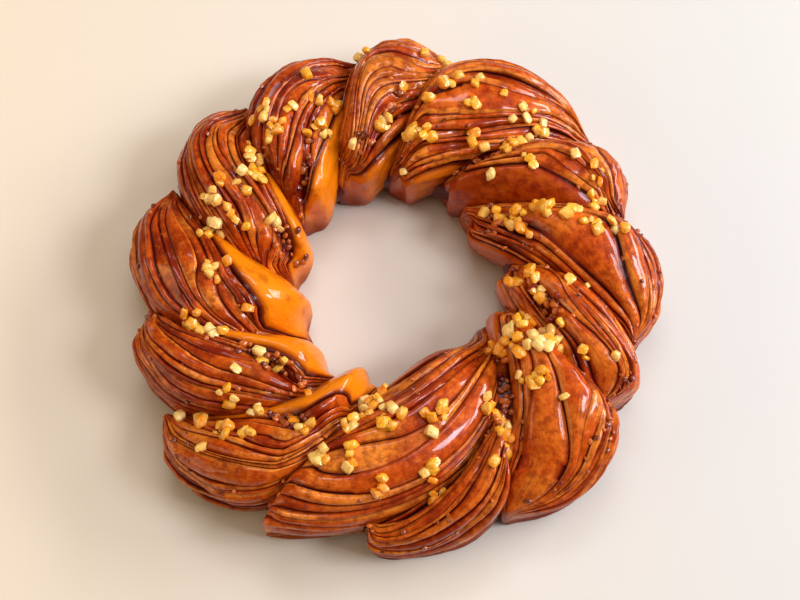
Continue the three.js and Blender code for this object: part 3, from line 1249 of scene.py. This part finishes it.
@dataclass
class Scatter:
    """Cubes, crumbs or bits laid on the crust as one mesh, in millimetres and degrees.

    Lean is how far a piece tips over with the crust, and tilt, in radians, how unevenly it lies.
    """

    crust: BVHTree
    seed: int
    corner: float = 0.21
    uneven: float = 0.38
    depth_range: Pair = (0.75, 1.1)
    lean: float = 0.75
    tilt: float = 0.22
    look_from: float = 200.0
    smooth_below: float = 50.0

    def __post_init__(self) -> None:
        """Start with nothing laid."""
        self.random = np.random.default_rng(self.seed)
        self.template, self.faces = self.bevelled_cube()
        self.points: list[np.ndarray] = []
        self.tones: list[float] = []
        self.middles: list[np.ndarray] = []

    def bevelled_cube(self) -> tuple[np.ndarray, list[list[int]]]:
        """Model one small cube with broken edges.

        Returns:
            Its vertices, in units of its side, and its faces.
        """
        deselect()
        bpy.ops.mesh.primitive_cube_add(size=1.0)
        cube = bpy.context.object
        bpy.ops.object.mode_set(mode="EDIT")
        bpy.ops.mesh.select_all(action="SELECT")
        bpy.ops.mesh.bevel(offset=self.corner, segments=1, affect="EDGES")
        bpy.ops.object.mode_set(mode="OBJECT")
        mesh = cube.data
        points = points_of(mesh)
        faces = [list(p.vertices) for p in mesh.polygons]
        bpy.data.objects.remove(cube)
        bpy.data.meshes.remove(mesh)
        return points, faces

    def ground(self, level: np.ndarray) -> tuple[np.ndarray, Vector] | None:
        """Find the crust under a level place.

        Args:
            level: The place.

        Returns:
            The point and the normal there, or None where there is no crust.
        """
        start = Vector((level[0] * MM, level[1] * MM, self.look_from * MM))
        place, normal, _, _ = self.crust.ray_cast(start, Vector((0, 0, -1)))
        if place is None:
            return None
        return np.array(place) / MM, normal

    def lay(self, level: np.ndarray, size: float, sunk: float, flat: float, tone: float,
            lift: float = 0.0) -> bool:
        """Lay one piece.

        Args:
            level: Its level place.
            size: Its side.
            sunk: The share of it that is below the crust.
            flat: Its height as a share of its side.
            tone: What its finish reads.
            lift: How far it lies above the crust.

        Returns:
            Whether there was crust to lay it on.
        """
        found = self.ground(level)
        if found is None:
            return False
        place, normal = found
        random = self.random
        wobble = 1 + self.uneven * (random.random((len(self.template), 3)) - 0.5)
        skew = np.eye(3) + self.uneven * (random.random((3, 3)) - 0.5)
        sides = size * np.array([1.0, random.uniform(*self.depth_range), flat])
        points = self.template * wobble @ skew * sides
        lean = Vector((0, 0, 1)).slerp(normal, self.lean) if normal.z > 0 else Vector((0, 0, 1))
        tilt = Euler((random.normal(0, self.tilt), random.normal(0, self.tilt), 0)).to_matrix()
        turn = Matrix.Rotation(random.uniform(0, math.pi), 3, "Z")
        whole = np.array(lean.to_track_quat("Z", "X").to_matrix() @ tilt @ turn)
        up = np.array(lean)
        points = points @ whole.T + place + up * (size * flat * (0.5 - sunk) + lift)
        self.points.append(points)
        self.tones.append(tone)
        self.middles.append(level)
        return True

    def finish(self, name: str, material: bpy.types.Material) -> bpy.types.Object:
        """Join all that was laid into one piece.

        Args:
            name: Its name.
            material: Its finish.

        Returns:
            The finished piece.
        """
        count = len(self.template)
        mesh = bpy.data.meshes.new(name)
        faces = [[v + i * count for v in face] for i in range(len(self.points)) for face in self.faces]
        mesh.from_pydata((np.vstack(self.points) * MM).tolist(), [], faces)
        stored(mesh, "tone", np.repeat(self.tones, count))
        piece = placed(name, mesh)
        pick(piece)
        bpy.ops.object.shade_smooth_by_angle(angle=math.radians(self.smooth_below))
        settle(piece, material)
        return piece


@dataclass
class CandiedPeel:
    """The cubes of candied peel, in millimetres and shares of a cube's side.

    Apart is how close two cubes may lie, and lift is how far up a cube goes where there is no room.
    """

    size: float = 5.2
    size_range: Pair = (0.7, 1.25)
    height_range: Pair = (0.6, 0.95)
    sunk: float = 0.16
    apart: float = 3.0
    lift: float = 3.4
    spread: float = 1.85
    scatter: float = 0.6
    tries: int = 14
    pale_share: float = 0.32
    pale_tones: Pair = (0.55, 1.0)
    clear_tones: Pair = (0.0, 0.85)
    seed: int = 77

    def build(self, crust: BVHTree, material: bpy.types.Material) -> bpy.types.Object:
        """Lay every heap, each cube beside the last or on top where there is no room.

        Args:
            crust: The surface that they lie on.
            material: The peel.

        Returns:
            The finished piece.
        """
        scatter = Scatter(crust, self.seed)
        random = scatter.random
        for heap in HEAPS:
            middle = polar(heap.angle, heap.radius)
            spread = self.spread * math.sqrt(heap.count)
            tones = self.pale_tones if random.random() < self.pale_share else self.clear_tones
            for _ in range(heap.count):
                size = self.size * random.uniform(*self.size_range)
                for _ in range(self.tries):
                    level = middle + random.normal(0, self.scatter, 2) * spread
                    if heap.count == 1:
                        level = middle
                    crowd = any(np.hypot(*(other - level)) < self.apart for other in scatter.middles)
                    if not crowd:
                        break
                tone = random.uniform(*tones)
                flat = random.uniform(*self.height_range)
                scatter.lay(level, size, self.sunk, flat, tone, self.lift if crowd else 0.0)
        return scatter.finish("candied_peel", material)


@dataclass
class FillingBits:
    """Bits of filling in the grooves and open places, and a few baked on low outside.

    Lengths are in millimetres and angles in degrees round the ring. Sunk and flat are shares of a bit's
    side, groove_from is how deep in a groove a place has to be, from 0 to 1, and scatter is a share of an
    open place's length and width.
    """

    in_pits: int = 22
    in_grooves: int = 170
    outside: int = 80
    corner: float = 0.26
    flat: float = 0.8
    sunk: float = 0.35
    pit_sunk: float = 0.3
    pit_sizes: Pair = (2.0, 4.2)
    groove_sizes: Pair = (1.4, 2.8)
    outside_sizes: Pair = (1.4, 3.0)
    scatter: float = 0.6
    groove_from: float = 0.85
    lowest: float = 34.0
    groove_tone: float = 0.95
    baked_angles: tuple[int, ...] = (285, 318, 335, 10, 160, 218)
    baked_spread: float = 9.0
    baked_radii: Pair = (134.0, 148.0)
    seed: int = 311

    def build(self, crust: BVHTree, material: bpy.types.Material,
              crossings: list[bpy.types.Object]) -> bpy.types.Object:
        """Lay the bits.

        Args:
            crust: The crossings' surface.
            material: The filling.
            crossings: The crossings, whose grooves hold bits.

        Returns:
            The finished piece.
        """
        scatter = Scatter(crust, self.seed, corner=self.corner)
        random = scatter.random
        for pit in PITS:
            way, across = pit.ways()
            for _ in range(self.in_pits):
                run = random.normal(0, self.scatter) * pit.length
                side = random.normal(0, self.scatter) * pit.width
                level = polar(pit.angle, pit.radius) + run * way + side * across
                scatter.lay(level, random.uniform(*self.pit_sizes), self.pit_sunk, self.flat, random.random())
        places = np.vstack([self.groove_places(piece.data) for piece in crossings])
        for index in random.choice(len(places), self.in_grooves, replace=False):
            size = random.uniform(*self.groove_sizes)
            scatter.lay(places[index, :2], size, self.sunk, self.flat, random.random() * self.groove_tone)
        for _ in range(self.outside):
            angle = random.choice(self.baked_angles) + random.normal(0, self.baked_spread)
            level = polar(angle, random.uniform(*self.baked_radii))
            scatter.lay(level, random.uniform(*self.outside_sizes), self.sunk, self.flat, random.random())
        return scatter.finish("filling_bits", material)

    def groove_places(self, mesh: bpy.types.Mesh) -> np.ndarray:
        """Find a crossing's vertices that lie deep in a groove and high up.

        Args:
            mesh: The crossing's mesh.

        Returns:
            Their points, in millimetres.
        """
        points = points_of(mesh) / MM
        groove = np.empty(len(points))
        mesh.attributes["groove"].data.foreach_get("value", groove)
        return points[(groove > self.groove_from) & (points[:, 2] > self.lowest)]


# The room


@dataclass(frozen=True)
class Lamp:
    """A soft panel that faces the loaf.

    Its azimuth and elevation are in degrees, its distance, width and height in metres and its power in
    watts. Mirrored says whether glossy surfaces show it.
    """

    name: str
    azimuth: float
    elevation: float
    distance: float
    size: Pair
    power: float
    tint: Triple
    mirrored: bool = True

    def build(self) -> None:
        """Make the lamp and turn it to the loaf."""
        data = bpy.data.lights.new(self.name, "AREA")
        data.shape = "RECTANGLE"
        data.size, data.size_y = self.size
        data.energy = self.power
        data.color = self.tint
        light = placed(self.name, data)
        light.visible_glossy = self.mirrored
        turn, tilt = math.radians(self.azimuth), math.radians(self.elevation)
        way = Vector((math.cos(turn) * math.cos(tilt), math.sin(turn) * math.cos(tilt), math.sin(tilt)))
        light.location = way * self.distance
        light.rotation_euler = way.to_track_quat("Z", "Y").to_euler()


@dataclass
class Studio:
    """Floor, lights and camera, in millimetres and degrees where not said otherwise."""

    floor_side: float = 6000.0
    camera_distance: float = 720.7
    camera_elevation: float = 69.2
    camera_roll: float = 5.05
    aim: Pair = (5.02, 0.49)
    lens: float = 57.09
    room_tint: Triple = (1.0, 0.82, 0.66)
    room_strength: float = 0.09
    lamps: tuple[Lamp, ...] = (
        Lamp("window", 16, 29, 1.5, (1.2, 0.34), 20.0, (0.95, 0.95, 1.0)),
        Lamp("side_window", -14, 46, 1.5, (0.5, 0.4), 12.0, (0.84, 0.88, 1.0)),
        Lamp("ceiling", 50, 78, 1.8, (1.6, 1.6), 13.0, (1.0, 0.96, 0.9), mirrored=False),
        Lamp("skylight", 92, 60, 1.5, (0.7, 0.3), 4.0, (0.8, 0.84, 1.0)),
        Lamp("warm_wall", 195, 24, 1.5, (1.2, 0.8), 7.0, (1.0, 0.78, 0.46)),
    )

    def build(self) -> None:
        """Set up everything that isn't the loaf."""
        self.floor()
        self.camera()
        for lamp in self.lamps:
            lamp.build()
        world = bpy.data.worlds.new("room")
        bpy.context.scene.world = world
        world.use_nodes = True
        background = world.node_tree.nodes["Background"]
        background.inputs["Color"].default_value = (*self.room_tint, 1.0)
        background.inputs["Strength"].default_value = self.room_strength
        bpy.context.scene.view_settings.view_transform = "Standard"

    def floor(self) -> None:
        """A wide plain floor at the loaf's underside."""
        deselect()
        bpy.ops.mesh.primitive_plane_add(size=self.floor_side * MM)
        floor = bpy.context.object
        floor.name = floor.data.name = "floor"
        floor.data.materials.append(FloorFinish().build())

    def camera(self) -> None:
        """A camera at the photograph's angle, turned a little about its own axis."""
        raised, roll = math.radians(self.camera_elevation), math.radians(self.camera_roll)
        back = Vector((0, -math.cos(raised), math.sin(raised)))
        right, up = Vector((1, 0, 0)), Vector((0, math.sin(raised), math.cos(raised)))
        turned_right = right * math.cos(roll) - up * math.sin(roll)
        turned_up = right * math.sin(roll) + up * math.cos(roll)
        level = Matrix.Rotation(roll, 3, "Z")
        place = level @ (Vector((*self.aim, 0)) + back * self.camera_distance)
        place += Vector((*RING_MIDDLE, 0))
        axes = Matrix([level @ turned_right, level @ turned_up, level @ back]).transposed()
        data = bpy.data.cameras.new("camera")
        data.lens = self.lens
        camera = placed("camera", data)
        camera.matrix_world = Matrix.Translation(place * MM) @ axes.to_4x4()
        bpy.context.scene.camera = camera


def surface_of(pieces: list[bpy.types.Object]) -> BVHTree:
    """Gather all these pieces' faces, for finding what lies below a place.

    Args:
        pieces: The pieces.

    Returns:
        One tree of their faces.
    """
    points: list[Vector] = []
    faces: list[list[int]] = []
    for piece in pieces:
        first = len(points)
        points += [v.co.copy() for v in piece.data.vertices]
        faces += [[v + first for v in p.vertices] for p in piece.data.polygons]
    return BVHTree.FromPolygons(points, faces)


def main() -> None:
    """Build the loaf and its setting, in order."""
    logging.basicConfig(level=logging.INFO, format="%(name)s: %(message)s")
    Studio().build()
    crust = CrustFinish().build()
    crossings = []
    for number, crossing in enumerate(CROSSINGS, start=1):
        following = CROSSINGS[number % len(CROSSINGS)]
        crossings.append(LayeredCrossing(number, crossing, following).build(crust))
    core = CoreDough().build(crust)
    tree = surface_of([*crossings, core])
    CandiedPeel().build(tree, PeelFinish().build())
    FillingBits().build(tree, FillingFinish().build(), crossings)


if __name__ == "__main__":
    main()
